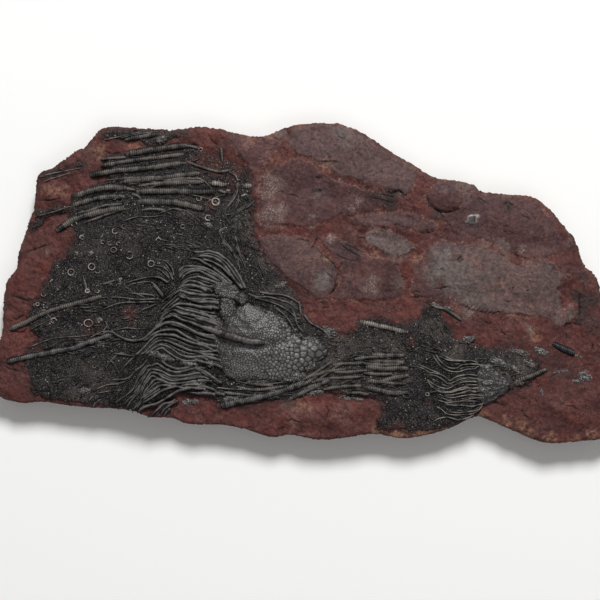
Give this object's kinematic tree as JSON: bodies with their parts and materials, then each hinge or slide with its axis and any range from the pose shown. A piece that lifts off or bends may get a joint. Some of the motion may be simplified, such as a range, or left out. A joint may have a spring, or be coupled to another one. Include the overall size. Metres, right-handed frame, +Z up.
{
  "type": "crinoid fossil slab",
  "caption": "Broken slab of red marl that carries fossil sea lilies in low relief: a large crown with its cup and arms, a small crown and lengths of stem.",
  "frame": {"origin": "under the middle of the slab's bounding box, on the surface that its back lies on", "axes": "+X along the slab, from the large crown towards the small one; +Y across it, towards the edge with the bundle of stems; +Z up, out of the bedding plane that carries the fossils"},
  "size_m": [0.6175, 0.3232, 0.044],
  "materials": {
    "marl": "matt red-brown to grey-purple marl, sealed, with a faint sheen",
    "crinoid_calcite": "charcoal grey calcite, rubbed lighter on its ridges, with a satin sheen"
  },
  "bodies": {
    "root": {"marl_slab": "marl", "large_crown": "crinoid_calcite", "small_crown": "crinoid_calcite", "upper_stem_1": "crinoid_calcite", "upper_stem_2": "crinoid_calcite", "upper_stem_3": "crinoid_calcite", "upper_stem_4": "crinoid_calcite", "upper_stem_5": "crinoid_calcite", "upper_stem_6": "crinoid_calcite", "upper_stem_7": "crinoid_calcite", "upper_stem_8": "crinoid_calcite", "upper_stem_9": "crinoid_calcite", "upper_stem_10": "crinoid_calcite", "upper_stem_11": "crinoid_calcite", "short_stem_1": "crinoid_calcite", "short_stem_2": "crinoid_calcite", "left_stem_1": "crinoid_calcite", "left_stem_2": "crinoid_calcite", "lower_stem_1": "crinoid_calcite", "lower_stem_2": "crinoid_calcite", "middle_stem_1": "crinoid_calcite", "middle_stem_2": "crinoid_calcite", "middle_stem_3": "crinoid_calcite", "middle_stem_4": "crinoid_calcite", "middle_stem_5": "crinoid_calcite", "middle_stem_6": "crinoid_calcite", "right_stem_1": "crinoid_calcite", "right_stem_2": "crinoid_calcite", "right_stem_3": "crinoid_calcite"}
  },
  "joints": []
}
